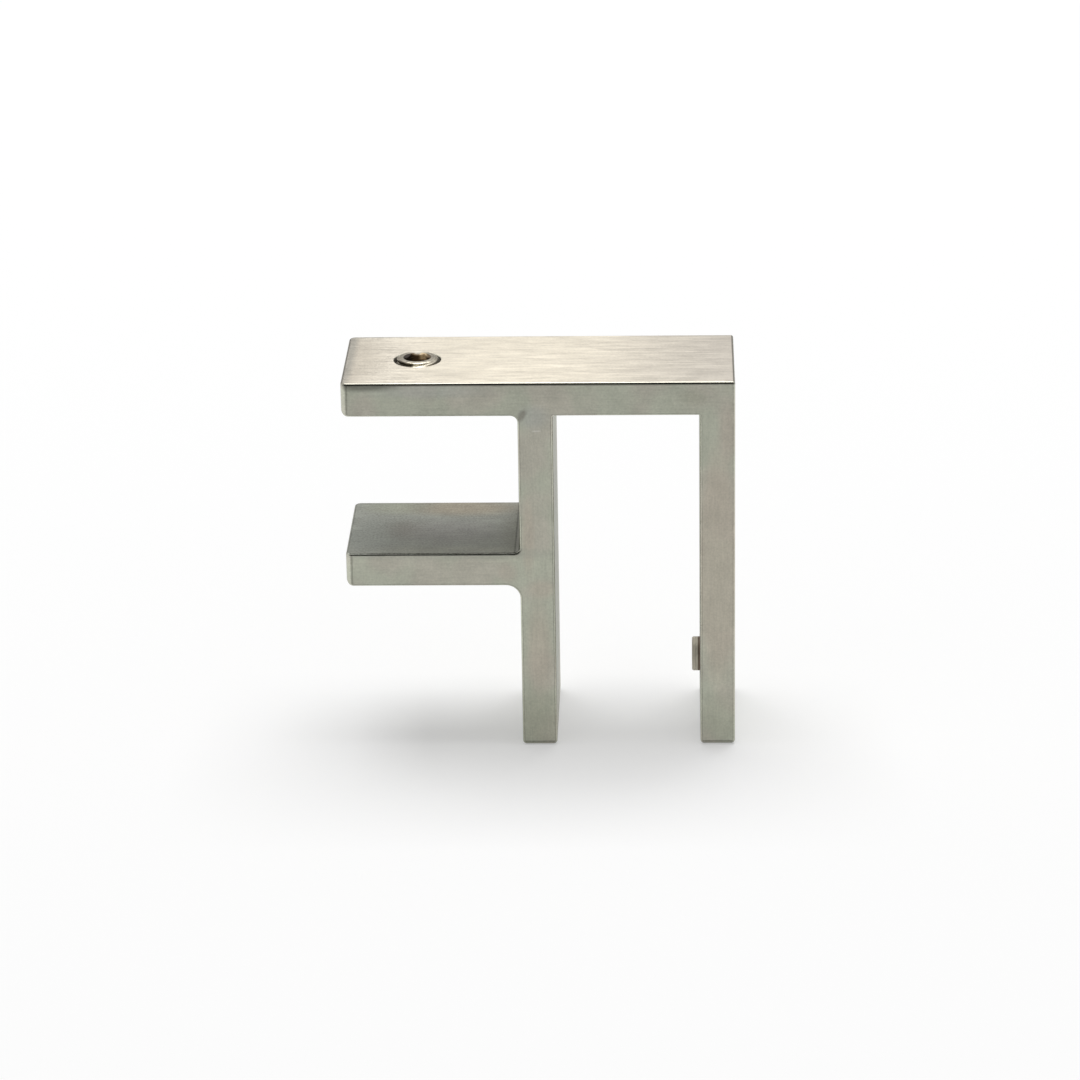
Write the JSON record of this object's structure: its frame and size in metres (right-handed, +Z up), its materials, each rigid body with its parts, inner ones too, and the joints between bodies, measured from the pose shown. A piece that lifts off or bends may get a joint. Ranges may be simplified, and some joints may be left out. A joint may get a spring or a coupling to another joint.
{
  "type": "glass panel clamp",
  "caption": "Steel clamp with an open side slot that grips a panel's edge and an open-bottomed channel that straddles a rail, each tightened by a hexagon socket set screw.",
  "frame": {"origin": "on the floor that the two legs stand on, under the middle of the part's bounding box", "axes": "+Z up from the legs to the top bar, +X from the bar's free end towards the end leg, +Y from the front to the back"},
  "size_m": [0.067, 0.025, 0.0675],
  "materials": {
    "satin_steel": "satin ground, with the grain along each limb",
    "screw_steel": "turned and rolled, bright"
  },
  "bodies": {
    "body": {"clamp_body": "satin_steel"},
    "top_screw": {"top_set_screw": "screw_steel"},
    "side_screw": {"side_set_screw": "screw_steel"}
  },
  "joints": [
    {"name": "top_screw_travel", "type": "slide", "parent": "body", "child": "top_screw", "axis": [0, 0, -1], "range_m": [-0.00125, 0.0025]},
    {"name": "side_screw_travel", "type": "slide", "parent": "body", "child": "side_screw", "axis": [-1, 0, 0], "range_m": [-0.0025, 0.00125]}
  ]
}
